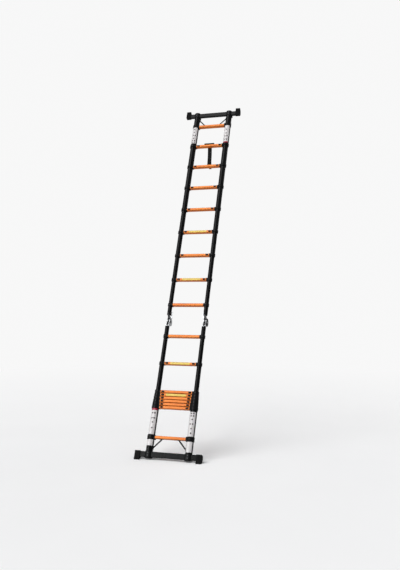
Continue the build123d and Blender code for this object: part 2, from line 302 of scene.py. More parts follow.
class Nodes:
    """Builds a node material step by step."""

    def __init__(self, name: str) -> None:
        """Starts an empty material with its output and shader."""
        self.material = bpy.data.materials.new(name)
        self.material.use_nodes = True
        self.tree = self.material.node_tree
        self.tree.nodes.clear()
        self.output = self.tree.nodes.new("ShaderNodeOutputMaterial")
        self.shader = self.tree.nodes.new("ShaderNodeBsdfPrincipled")
        self.link(self.shader.outputs["BSDF"], self.output.inputs["Surface"])

    def link(self, source: Socket, target: Socket) -> None:
        """Joins two sockets."""
        self.tree.links.new(source, target)

    def add(self, kind: str, **settings: object) -> bpy.types.Node:
        """Adds a node and sets its properties."""
        node = self.tree.nodes.new(kind)
        for key, value in settings.items():
            setattr(node, key, value)
        return node

    def object_space(self, stretch: Triple, lean: float = 0.0) -> Socket:
        """Object coordinates divided by a stretch, turned upright from the ladder's lean.

        Args:
            stretch: size of the pattern along X, Y and Z, in metres.
            lean: how far the rails lean from upright, in radians.

        Returns:
            The vector socket.
        """
        place = self.add("ShaderNodeTexCoord")
        mapping = self.add("ShaderNodeMapping", vector_type="TEXTURE")
        mapping.inputs["Rotation"].default_value = (-lean, 0, 0)
        mapping.inputs["Scale"].default_value = stretch
        self.link(place.outputs["Object"], mapping.inputs["Vector"])
        return mapping.outputs["Vector"]

    def uv_space(self, layer: str, scale: Triple) -> Socket:
        """The piece's own UV map, scaled."""
        place = self.add("ShaderNodeUVMap", uv_map=layer)
        mapping = self.add("ShaderNodeMapping")
        mapping.inputs["Scale"].default_value = scale
        self.link(place.outputs["UV"], mapping.inputs["Vector"])
        return mapping.outputs["Vector"]

    def noise(
        self, vector: Socket, scale: float, detail: float = 3.0, rough: float = 0.5
    ) -> Socket:
        """A noise value over a vector."""
        node = self.add("ShaderNodeTexNoise")
        node.inputs["Scale"].default_value = scale
        node.inputs["Detail"].default_value = detail
        node.inputs["Roughness"].default_value = rough
        self.link(vector, node.inputs["Vector"])
        return node.outputs["Fac"]

    def ramp(self, factor: Socket, low: float, high: float, dark: Triple, light: Triple) -> Socket:
        """A colour ramp between two colours.

        Args:
            factor: what drives it.
            low: the factor that gives the first colour.
            high: the factor that gives the second colour.
            dark: the first colour.
            light: the second colour.

        Returns:
            The colour socket.
        """
        node = self.add("ShaderNodeValToRGB")
        first, second = node.color_ramp.elements
        first.position, first.color = low, (*dark, 1)
        second.position, second.color = high, (*light, 1)
        self.link(factor, node.inputs["Fac"])
        return node.outputs["Color"]

    def span(self, factor: Socket, low: float, high: float, source: Pair = (0.3, 0.7)) -> Socket:
        """A factor mapped to a span of values."""
        node = self.add("ShaderNodeMapRange")
        node.inputs["From Min"].default_value = source[0]
        node.inputs["From Max"].default_value = source[1]
        node.inputs["To Min"].default_value = low
        node.inputs["To Max"].default_value = high
        self.link(factor, node.inputs["Value"])
        return node.outputs["Result"]

    def bump(
        self, height: Socket, strength: float, distance: float,
        under: Socket | None = None,
    ) -> Socket:
        """A bump from a height, over an earlier normal if one is given."""
        node = self.add("ShaderNodeBump")
        node.inputs["Strength"].default_value = strength
        node.inputs["Distance"].default_value = distance
        self.link(height, node.inputs["Height"])
        if under is not None:
            self.link(under, node.inputs["Normal"])
        return node.outputs["Normal"]

    def mix(self, factor: Socket, first: Socket, second: Triple) -> Socket:
        """Mixes a colour towards a fixed one."""
        node = self.add("ShaderNodeMix", data_type="RGBA")
        self.link(factor, node.inputs["Factor"])
        self.link(first, node.inputs["A"])
        node.inputs["B"].default_value = (*second, 1)
        return node.outputs["Result"]


@dataclass(frozen=True)
class TubeFinish:
    """Black anodised tube, with fine draw lines along it and light rub marks."""

    name: str = "black_anodised_tube"
    dark: Triple = (0.0016, 0.0017, 0.0019)
    light: Triple = (0.0038, 0.0040, 0.0045)
    rub: Triple = (0.020, 0.021, 0.023)

    def build(self, lean: float) -> Material:
        """Makes the material for rails that lean by an angle."""
        nodes = Nodes(self.name)
        lines = nodes.noise(nodes.object_space((0.0012, 0.0012, 0.35), lean), 1.0, 2.0)
        clouds = nodes.noise(nodes.object_space((0.05, 0.05, 0.22), lean), 1.0, 4.0)
        rubs = nodes.noise(nodes.object_space((0.004, 0.004, 0.12), lean), 1.0, 5.0, 0.65)
        colour = nodes.ramp(clouds, 0.35, 0.68, self.dark, self.light)
        worn = nodes.span(rubs, 0.0, 0.55, (0.60, 0.78))
        nodes.link(nodes.mix(worn, colour, self.rub), nodes.shader.inputs["Base Color"])
        nodes.link(nodes.span(clouds, 0.22, 0.32), nodes.shader.inputs["Roughness"])
        nodes.shader.inputs["Specular IOR Level"].default_value = 0.09
        nodes.link(nodes.bump(lines, 0.22, 0.0004), nodes.shader.inputs["Normal"])
        return nodes.material


@dataclass(frozen=True)
class RungFinish:
    """Orange anodised extrusion, brushed along its length."""

    name: str = "orange_anodised_rung"
    deep: Triple = (0.47, 0.110, 0.008)
    bright: Triple = (0.58, 0.170, 0.014)
    worn: Triple = (0.68, 0.28, 0.08)

    def build(self, lean: float) -> Material:
        """Makes the material for rungs of a ladder that leans by an angle."""
        nodes = Nodes(self.name)
        brush = nodes.noise(nodes.object_space((0.12, 0.0010, 0.0010), lean), 1.0, 3.0)
        clouds = nodes.noise(nodes.object_space((0.16, 0.05, 0.05), lean), 1.0, 3.0)
        scuffs = nodes.noise(nodes.object_space((0.020, 0.0035, 0.0035), lean), 1.0, 6.0, 0.7)
        colour = nodes.ramp(clouds, 0.30, 0.72, self.deep, self.bright)
        worn = nodes.span(scuffs, 0.0, 0.45, (0.64, 0.80))
        nodes.link(nodes.mix(worn, colour, self.worn), nodes.shader.inputs["Base Color"])
        nodes.link(nodes.span(brush, 0.26, 0.40), nodes.shader.inputs["Roughness"])
        nodes.shader.inputs["Metallic"].default_value = 0.30
        nodes.shader.inputs["Specular IOR Level"].default_value = 0.35
        nodes.link(nodes.bump(brush, 0.16, 0.0004), nodes.shader.inputs["Normal"])
        return nodes.material


@dataclass(frozen=True)
class MouldedFinish:
    """Moulded black plastic or rubber with a fine grain."""

    name: str = "black_moulded_nylon"
    dark: Triple = (0.0020, 0.0021, 0.0023)
    light: Triple = (0.0046, 0.0048, 0.0053)
    scuff: Triple = (0.018, 0.0185, 0.0195)
    roughness: Pair = (0.42, 0.56)
    grain: float = 0.0016
    depth: float = 0.35

    def build(self) -> Material:
        """Makes the material."""
        nodes = Nodes(self.name)
        grain = nodes.noise(nodes.object_space((self.grain,) * 3), 1.0, 2.0)
        clouds = nodes.noise(nodes.object_space((0.035,) * 3), 1.0, 4.0)
        scuffs = nodes.noise(nodes.object_space((0.011, 0.006, 0.008)), 1.0, 6.0, 0.72)
        colour = nodes.ramp(clouds, 0.35, 0.70, self.dark, self.light)
        worn = nodes.span(scuffs, 0.0, 0.60, (0.64, 0.80))
        nodes.link(nodes.mix(worn, colour, self.scuff), nodes.shader.inputs["Base Color"])
        nodes.link(nodes.span(clouds, *self.roughness), nodes.shader.inputs["Roughness"])
        nodes.shader.inputs["Specular IOR Level"].default_value = 0.10
        nodes.link(nodes.bump(grain, self.depth, 0.0005), nodes.shader.inputs["Normal"])
        return nodes.material


@dataclass(frozen=True)
class SteelFinish:
    """Zinc plated steel, brushed, with dull patches."""

    name: str = "plated_steel"
    dark: Triple = (0.24, 0.25, 0.255)
    light: Triple = (0.50, 0.51, 0.52)

    def build(self) -> Material:
        """Makes the material."""
        nodes = Nodes(self.name)
        brush = nodes.noise(nodes.object_space((0.02, 0.0009, 0.0009)), 1.0, 3.0)
        clouds = nodes.noise(nodes.object_space((0.012,) * 3), 1.0, 5.0, 0.62)
        colour = nodes.ramp(clouds, 0.30, 0.70, self.dark, self.light)
        nodes.link(colour, nodes.shader.inputs["Base Color"])
        nodes.link(nodes.span(clouds, 0.24, 0.44), nodes.shader.inputs["Roughness"])
        nodes.shader.inputs["Metallic"].default_value = 1.0
        nodes.link(nodes.bump(brush, 0.20, 0.0003), nodes.shader.inputs["Normal"])
        return nodes.material


@dataclass(frozen=True)
class VinylFinish:
    """Printed vinyl, a little yellowed and scuffed."""

    name: str
    clean: Triple
    soiled: Triple
    roughness: Pair = (0.30, 0.45)

    def build(self) -> Material:
        """Makes the material."""
        nodes = Nodes(self.name)
        clouds = nodes.noise(nodes.object_space((0.03, 0.03, 0.05)), 1.0, 5.0, 0.62)
        ripple = nodes.noise(nodes.object_space((0.012,) * 3), 1.0, 2.0)
        colour = nodes.ramp(clouds, 0.38, 0.82, self.clean, self.soiled)
        nodes.link(colour, nodes.shader.inputs["Base Color"])
        nodes.link(nodes.span(clouds, *self.roughness), nodes.shader.inputs["Roughness"])
        nodes.link(nodes.bump(ripple, 0.06, 0.0006), nodes.shader.inputs["Normal"])
        return nodes.material


@dataclass(frozen=True)
class WebbingFinish:
    """Black polyester webbing: a twill of raised ribs on the strap's own UV map, with painted shade
    in the hollows of the weave.
    """

    name: str = "black_webbing"
    layer: str = "weave"
    rib: float = 0.0022
    pick: float = 0.0011
    # dark is painted shade for the low parts of the weave; light is the webbing's own black on the
    # crests.
    dark: Triple = (0.0035, 0.0035, 0.004)
    light: Triple = (0.0075, 0.0075, 0.008)

    def build(self) -> Material:
        """Makes the material; the UV map is in metres."""
        nodes = Nodes(self.name)
        ribs = self._wave(nodes, nodes.uv_space(self.layer, (1 / self.rib, 0, 0)), "X")
        picks = self._wave(nodes, nodes.uv_space(self.layer, (0, 1 / self.pick, 0)), "Y")
        both = nodes.add("ShaderNodeMath", operation="MULTIPLY")
        nodes.link(ribs, both.inputs[0])
        nodes.link(picks, both.inputs[1])
        fuzz = nodes.noise(nodes.object_space((0.0012,) * 3), 1.0, 3.0)
        # The colour follows the weave's height, so its low parts are darker: painted shade in the
        # hollows between ribs and picks.
        nodes.link(
            nodes.ramp(both.outputs[0], 0.05, 0.85, self.dark, self.light),
            nodes.shader.inputs["Base Color"],
        )
        nodes.link(nodes.span(fuzz, 0.72, 0.90), nodes.shader.inputs["Roughness"])
        nodes.shader.inputs["Specular IOR Level"].default_value = 0.2
        nodes.shader.inputs["Sheen Weight"].default_value = 0.06
        nodes.shader.inputs["Sheen Roughness"].default_value = 0.5
        weave = nodes.bump(both.outputs[0], 0.6, 0.0005)
        nodes.link(nodes.bump(fuzz, 0.15, 0.0003, weave), nodes.shader.inputs["Normal"])
        return nodes.material

    @staticmethod
    def _wave(nodes: Nodes, vector: Socket, along: str) -> Socket:
        """A sine wave of one cycle per unit along X or Y."""
        wave = nodes.add("ShaderNodeTexWave", wave_type="BANDS", bands_direction=along)
        wave.inputs["Scale"].default_value = math.tau / 20
        nodes.link(vector, wave.inputs["Vector"])
        return wave.outputs["Fac"]


@dataclass
class Finishes:
    """Every material of the ladder, built once."""

    layout: Layout
    tube: Material = field(init=False)
    rung: Material = field(init=False)
    nylon: Material = field(init=False)
    button: Material = field(init=False)
    rubber: Material = field(init=False)
    steel: Material = field(init=False)
    dark_steel: Material = field(init=False)
    white: Material = field(init=False)
    crimson: Material = field(init=False)
    yellow: Material = field(init=False)
    print_ink: Material = field(init=False)
    webbing: Material = field(init=False)

    def __post_init__(self) -> None:
        """Builds the materials."""
        lean = math.pi / 2 - self.layout.lean
        self.tube = TubeFinish().build(lean)
        self.rung = RungFinish().build(lean)
        self.nylon = MouldedFinish().build()
        self.button = MouldedFinish(
            name="release_button_plastic", dark=(0.0015, 0.0015, 0.0015),
            light=(0.003, 0.003, 0.0035), roughness=(0.30, 0.42), depth=0.15,
        ).build()
        self.rubber = MouldedFinish(
            name="black_rubber", dark=(0.0028, 0.0028, 0.0030), light=(0.0065, 0.0065, 0.0070),
            scuff=(0.024, 0.0235, 0.0225), roughness=(0.68, 0.84), grain=0.0024, depth=0.5,
        ).build()
        self.steel = SteelFinish().build()
        self.dark_steel = SteelFinish(
            "blackened_steel", dark=(0.022, 0.023, 0.025), light=(0.075, 0.077, 0.080)
        ).build()
        self.white = VinylFinish(
            "white_label_vinyl", (0.70, 0.68, 0.685), (0.56, 0.54, 0.53)
        ).build()
        self.crimson = VinylFinish(
            "crimson_vinyl", (0.36, 0.004, 0.030), (0.22, 0.006, 0.024)
        ).build()
        self.yellow = VinylFinish("yellow_vinyl", (0.78, 0.56, 0.06), (0.66, 0.44, 0.04)).build()
        self.print_ink = VinylFinish(
            "dark_ink", (0.035, 0.024, 0.030), (0.08, 0.06, 0.07)
        ).build()
        self.webbing = WebbingFinish().build()


@dataclass
class Shop:
    """What every sub-assembly works with."""

    frame: dict
    layout: Layout
    finishes: Finishes

    def node(self, name: str) -> Piece:
        """A CAD node's object."""
        return self.frame["nodes"][name]

    def paint(self, name: str, *materials: Material) -> Piece:
        """Gives a CAD node its materials.

        Args:
            name: the node's name.
            materials: one material for each slot.

        Returns:
            The node's object.
        """
        piece = self.node(name)
        piece.data.materials.clear()
        for material in materials:
            piece.data.materials.append(material)
        LOG.info("dressed %s", name)
        return piece

    def finish(self, piece: Piece, material: Material, body: str, slot: str, side: Side) -> None:
        """Places a new piece, dresses it and makes it ride on its body.

        Args:
            piece: the mesh, in the frame of its own half.
            material: its finish.
            body: the body it moves with.
            slot: the record's slot name; not used.
            side: the half whose frame the mesh is in.
        """
        piece.data.transform(self.layout.matrix(side))
        piece.data.materials.clear()
        piece.data.materials.append(material)
        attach(piece, body)
        LOG.info("made %s on %s", piece.name, body)


@dataclass
class Rails:
    """The tubes and collars of every stage, with the screws that hold the collars."""

    shop: Shop
    tube_tolerance: float = 0.3 * MM
    screw_radius: float = 3.6 * MM
    screw_height: float = 1.4 * MM
    collar_thickness: float = 5 * MM

    def build(self) -> None:
        """Dresses the stages and adds their collar screws."""
        for side in Side:
            for stage in range(1, 9):
                self._dress(side, stage)
                self._screws(side, stage)

    def _dress(self, side: Side, stage: int) -> None:
        """Tubes take the anodised finish, collars the moulded one."""
        shop = self.shop
        name = f"{side.value}_stage_{stage}_rails"
        piece = shop.paint(name, shop.finishes.tube, shop.finishes.nylon)
        to_half = shop.layout.matrix(side).inverted()
        limit = shop.layout.radius(stage) + self.tube_tolerance
        verts = [to_half @ vert.co for vert in piece.data.vertices]
        reach = [
            math.hypot(abs(place.x) - shop.layout.rail_x, place.y) for place in verts
        ]
        for face in piece.data.polygons:
            is_collar = any(reach[index] > limit for index in face.vertices)
            face.material_index = 1 if is_collar else 0

    def _screws(self, side: Side, stage: int) -> None:
        """One button-head screw in the front of each collar of a stage."""
        layout = self.shop.layout
        rungs = [1, 2] if stage == 1 else [stage + 1]
        heads = []
        for rung in rungs:
            up = layout.rung_height_up(side, rung)
            front = -(layout.radius(stage) + self.collar_thickness)
            for rail in Rail:
                centre = Vector((rail.value * layout.rail_x, front, up))
                heads.append(self._screw(centre))
        piece = Bench.join(heads, f"{side.value}_stage_{stage}_collar_screws")
        self.shop.finish(
            piece, self.shop.finishes.dark_steel, f"{side.value}_stage_{stage}", "hinge_steel",
            side,
        )

    def _screw(self, centre: Vector) -> Piece:
        """A domed head with a hexagon socket, facing the front."""
        head = Bench.disc(
            "screw", centre, self.screw_radius, 2 * self.screw_height, (math.pi / 2, 0, 0), 18
        )
        front = centre.y - self.screw_height
        Bench.edit(head, lambda face: face.calc_center_median().y < front + 1e-5)
        bpy.ops.mesh.inset(thickness=self.screw_radius * 0.45, depth=self.screw_height * 0.4)
        bpy.ops.mesh.inset(thickness=self.screw_radius * 0.02, depth=-self.screw_height * 1.2)
        Bench.leave()
        Bench.smooth(head, 50)
        return head


@dataclass
class Rungs:
    """The orange rungs, their release buttons and plain stickers."""

    shop: Shop
    button_centre: float = 33 * MM
    sticker_rungs: tuple[int, ...] = (6, 8)
    sticker_length: float = 0.208
    sticker_lift: float = 0.25 * MM
    sticker_wrap: float = math.radians(32)
    rung_corner: float = 6 * MM
    button_proud: float = 5 * MM
    grip_spacing: float = 6 * MM
    grip_size: Triple = (1.4 * MM, 1.0 * MM, 8 * MM)

    def build(self) -> None:
        """Dresses rungs and buttons and adds the stickers."""
        for side in Side:
            for rung in range(1, 10):
                self.shop.paint(f"{side.value}_rung_{rung}", self.shop.finishes.rung)
                if 1 < rung < 9:
                    self.shop.paint(f"{side.value}_rung_{rung}_buttons", self.shop.finishes.button)
                    self._grips(side, rung)
            for rung in self.sticker_rungs:
                self._sticker(side, rung)

    def _sticker(self, side: Side, rung: int) -> None:
        """A plain yellow strip that wraps the front of a rung."""
        layout = self.shop.layout
        up = layout.rung_height_up(side, rung)
        proud = 2 * self.sticker_lift
        size = (self.sticker_length, layout.rung_depth + proud, layout.rung_height + proud)
        piece = Bench.cube(f"{side.value}_rung_{rung}_sticker", Vector((0, 0, up)), size)
        Bench.edit(piece, lambda face: abs(face.normal.x) > 0.5)
        bpy.ops.mesh.delete(type="ONLY_FACE")
        Bench.leave()
        Bench.bevel(piece, self.rung_corner + self.sticker_lift, 6)
        front = -layout.rung_depth / 2
        reach = math.sin(self.sticker_wrap)
        Bench.edit(
            piece,
            lambda face: face.calc_center_median().y > front / 2 or abs(face.normal.z) > reach,
        )
        bpy.ops.mesh.delete(type="FACE")
        Bench.leave()
        skin = piece.modifiers.new("skin", "SOLIDIFY")
        skin.thickness = self.sticker_lift
        skin.offset = -1
        Bench.apply(piece, skin)
        Bench.smooth(piece, 40)
        body = f"{side.value}_stage_{rung - 1}"
        self.shop.finish(piece, self.shop.finishes.yellow, body, "yellow_label", side)

    def _grips(self, side: Side, rung: int) -> None:
        """Three raised ribs on the face of each of a rung's buttons."""
        layout = self.shop.layout
        up = layout.rung_height_up(side, rung)
        x = layout.rail_x - layout.radius(rung - 1) - self.button_centre
        front = -layout.rung_depth / 2 - self.button_proud
        ribs = []
        for sign in (-1, 1):
            for shift in (-self.grip_spacing, 0.0, self.grip_spacing):
                centre = Vector((sign * x + shift, front, up))
                rib = Bench.cube("rib", centre, self.grip_size)
                Bench.bevel(rib, 0.5 * MM, 2)
                ribs.append(rib)
        piece = Bench.join(ribs, f"{side.value}_rung_{rung}_button_ribs")
        Bench.smooth(piece, 50)
        body = f"{side.value}_latch_{rung}"
        self.shop.finish(piece, self.shop.finishes.button, body, "black_plastic", side)


@dataclass
class TubeLabels:
    """Plain white labels with dots, and crimson bands, on the first stage's tubes."""

    shop: Shop
    half_angle: float = math.radians(57)
    lift: float = 0.25 * MM
    thickness: float = 0.4 * MM
    sides: int = 96
    dot_radius: float = 8.0 * MM
    dot_thickness: float = 1.6 * MM
    long_label: Pair = (0.024, 0.264)
    crimson_band: Pair = (0.264, 0.2835)
    left_short_label: Pair = (-0.085, -0.026)
    right_short_label: Pair = (-0.127, -0.026)

    def build(self) -> None:
        """Adds the labels of both halves."""
        for side in Side:
            for rail in Rail:
                name = f"{side.value}_{rail.name.lower()}"
                self._patch(f"{name}_label", side, rail, self.long_label, "white")
                self._dots(name, side, rail)
            banded = Rail.LEFT
            self._patch(f"{side.value}_crimson_band", side, banded, self.crimson_band, "crimson")
        for rail, span in (
            (Rail.LEFT, self.left_short_label), (Rail.RIGHT, self.right_short_label)
        ):
            name = f"lower_{rail.name.lower()}_short_label"
            self._patch(name, Side.LOWER, rail, span, "white")

    def _patch(self, name: str, side: Side, rail: Rail, span: Pair, colour: str) -> None:
        """A patch of vinyl that wraps the front of a first-stage tube.

        Args:
            name: the piece's name.
            side: the half it is on.
            rail: the rail it is on, in the half's own frame.
            span: where it starts and ends above the half's first rung.
            colour: white or crimson.
        """
        layout = self.shop.layout
        radius = layout.first_radius + self.lift
        middle = Vector((rail.value * layout.rail_x, 0, layout.foot_to_rung + sum(span) / 2))
        Bench.clear_selection()
        bpy.ops.mesh.primitive_cylinder_add(
            vertices=self.sides, radius=radius, depth=span[1] - span[0], location=middle,
            end_fill_type="NOTHING",
        )
        piece = Bench.named(name)
        Bench.edit(piece, lambda face: self._beside(face, middle))
        bpy.ops.mesh.delete(type="FACE")
        Bench.leave()
        skin = piece.modifiers.new("skin", "SOLIDIFY")
        skin.thickness = self.thickness
        skin.offset = -1
        Bench.apply(piece, skin)
        Bench.smooth(piece, 40)
        material = self.shop.finishes.white if colour == "white" else self.shop.finishes.crimson
        slot = "white_label" if colour == "white" else "red_label"
        self.shop.finish(piece, material, f"{side.value}_stage_1", slot, side)

    def _beside(self, face: bmesh.types.BMFace, middle: Vector) -> bool:
        """Whether a face of the tube's sleeve lies beyond the label's edges."""
        out = face.calc_center_median() - middle
        return abs(math.atan2(out.x, -out.y)) > self.half_angle

    def _dots(self, name: str, side: Side, rail: Rail) -> None:
        """Two columns of plain printed discs down a long label."""
        rows = {
            Rail.LEFT: ((0.235, 2), (0.185, 2), (0.142, 1), (0.087, 1)),
            Rail.RIGHT: ((0.250, 2), (0.225, 2), (0.190, 1), (0.145, 2), (0.100, 1), (0.055, 1)),
        }[rail]
        discs = []
        for up, count in rows:
            angles = (-20, 20) if count == 2 else (4,)
            for degrees in angles:
                discs.append(self._dot(rail, up, math.radians(degrees)))
        piece = Bench.join(discs, f"{name}_label_dots")
        self.shop.finish(
            piece, self.shop.finishes.print_ink, f"{side.value}_stage_1", "dark_print", side
        )

    def _dot(self, rail: Rail, up: float, angle: float) -> Piece:
        """A thin domed disc on the front of a tube, turned by an angle round it."""
        layout = self.shop.layout
        radius = layout.first_radius + self.lift
        out = Vector((math.sin(angle), -math.cos(angle), 0))
        centre = Vector((rail.value * layout.rail_x, 0, layout.foot_to_rung + up)) + out * radius
        turn = (math.pi / 2, 0, angle)
        dot = Bench.disc("dot", centre, self.dot_radius, self.dot_thickness, turn, 24)
        Bench.bevel(dot, 0.3 * MM, 1)
        return dot


@dataclass
class Feet:
    """Stabiliser bars, shoes, braces and rubber feet of both halves."""

    shop: Shop
    foot_x: Pair = (0.2855, 0.3415)
    foot_front: float = -31 * MM
    shoe_front: float = -37 * MM
    bolt_heights: Pair = (33 * MM, 59 * MM)
    bolt_reach: float = 8 * MM
    brace_top_x: float = 88 * MM
    rib_size: Triple = (38 * MM, 2.0 * MM, 5 * MM)
    rib_bottom: float = 6 * MM
    rib_pitch: float = 17 * MM
    rivet_drop: float = 18 * MM
    rivet_shift: float = 9 * MM
    rivet_radius: float = 3.4 * MM
    rivet_height: float = 2.4 * MM

    def build(self) -> None:
        """Dresses the nodes and adds ribs and rivets."""
        finishes = self.shop.finishes
        for side in Side:
            name = side.value
            self.shop.paint(f"{name}_stabiliser_bar", finishes.tube)
            self._shoes(side)
            self.shop.paint(f"{name}_braces", finishes.tube)
            self.shop.paint(f"{name}_rubber_feet", finishes.rubber)
            self._foot_ribs(side)
            self._rivets(side)

    def _shoes(self, side: Side) -> None:
        """Shoes are moulded, their bolts are blackened steel."""
        finishes = self.shop.finishes
        piece = self.shop.paint(f"{side.value}_foot_shoes", finishes.nylon, finishes.dark_steel)
        to_half = self.shop.layout.matrix(side).inverted()
        verts = [to_half @ vert.co for vert in piece.data.vertices]
        for face in piece.data.polygons:
            places = [verts[index] for index in face.vertices]
            middle = sum(places, Vector()) / len(places)
            across = abs(middle.x) - self.shop.layout.rail_x
            away = min(math.hypot(across, middle.z - up) for up in self.bolt_heights)
            proud = middle.y < self.shoe_front - 0.05 * MM
            face.material_index = 1 if away < self.bolt_reach and proud else 0

    def _foot_ribs(self, side: Side) -> None:
        """Raised ribs on the front of each rubber foot."""
        ribs = []
        for sign in (-1, 1):
            middle = sign * sum(self.foot_x) / 2
            for index in range(4):
                up = self.rib_bottom + self.rib_pitch * index
                rib = Bench.cube("rib", Vector((middle, self.foot_front, up)), self.rib_size)
                Bench.bevel(rib, 1.0 * MM, 3)
                ribs.append(rib)
        piece = Bench.join(ribs, f"{side.value}_foot_ribs")
        Bench.smooth(piece, 50)
        self.shop.finish(
            piece, self.shop.finishes.rubber, f"{side.value}_stage_1", "black_rubber", side
        )

    def _rivets(self, side: Side) -> None:
        """The rivet that holds each brace's top under the first rung."""
        up = self.shop.layout.foot_to_rung - self.rivet_drop
        heads = []
        for sign in (-1, 1):
            for shift in (-self.rivet_shift, self.rivet_shift):
                centre = Vector((sign * self.brace_top_x + shift, 0, up))
                head = Bench.disc(
                    "rivet", centre, self.rivet_radius, self.rivet_height, (0, 0, 0), 18
                )
                Bench.bevel(head, 1.0 * MM, 3)
                heads.append(head)
        piece = Bench.join(heads, f"{side.value}_brace_rivets")
        Bench.smooth(piece, 50)
        self.shop.finish(
            piece, self.shop.finishes.steel, f"{side.value}_stage_1", "hinge_steel", side
        )


@dataclass
class Hinges:
    """The two locking hinges, with dark covers on their cheeks."""

    shop: Shop
    cheek_outer: float = 15 * MM
    cover_radius: float = 0.0425
    cover_thickness: float = 0.0035

    def build(self) -> None:
        """Dresses the leaves and levers and adds the covers."""
        finishes = self.shop.finishes
        self.shop.paint("lower_hinge_leaves", finishes.steel)
        self.shop.paint("upper_hinge_leaves", finishes.dark_steel)
        self.shop.paint("hinge_release_levers", finishes.steel)
        layout = self.shop.layout
        axis_up = layout.rung_height_up(Side.LOWER, 9) + layout.last_rung_to_hinge
        covers = []
        for sign in (-1, 1):
            outer = sign * (layout.rail_x + self.cheek_outer + self.cover_thickness / 2)
            centre = Vector((outer, layout.hinge_back, axis_up))
            covers.append(self._cover(centre, sign))
        piece = Bench.join(covers, "hinge_covers")
        self.shop.finish(
            piece, self.shop.finishes.nylon, "lower_stage_8", "black_plastic", Side.LOWER
        )

    def _cover(self, centre: Vector, sign: int) -> Piece:
        """A moulded disc with a raised rim and a hole for the pin's head."""
        cover = Bench.disc(
            "cover", centre, self.cover_radius, self.cover_thickness, (0, math.pi / 2, 0), 56
        )
        outside = centre.x + sign * self.cover_thickness / 2
        Bench.edit(cover, lambda face: abs(face.calc_center_median().x - outside) < 1e-5)
        bpy.ops.mesh.inset(thickness=3 * MM, depth=0)
        bpy.ops.mesh.inset(thickness=1 * MM, depth=-1.2 * MM)
        Bench.leave()
        Bench.bevel(cover, 0.6 * MM, 2)
        Bench.smooth(cover, 50)
        return cover


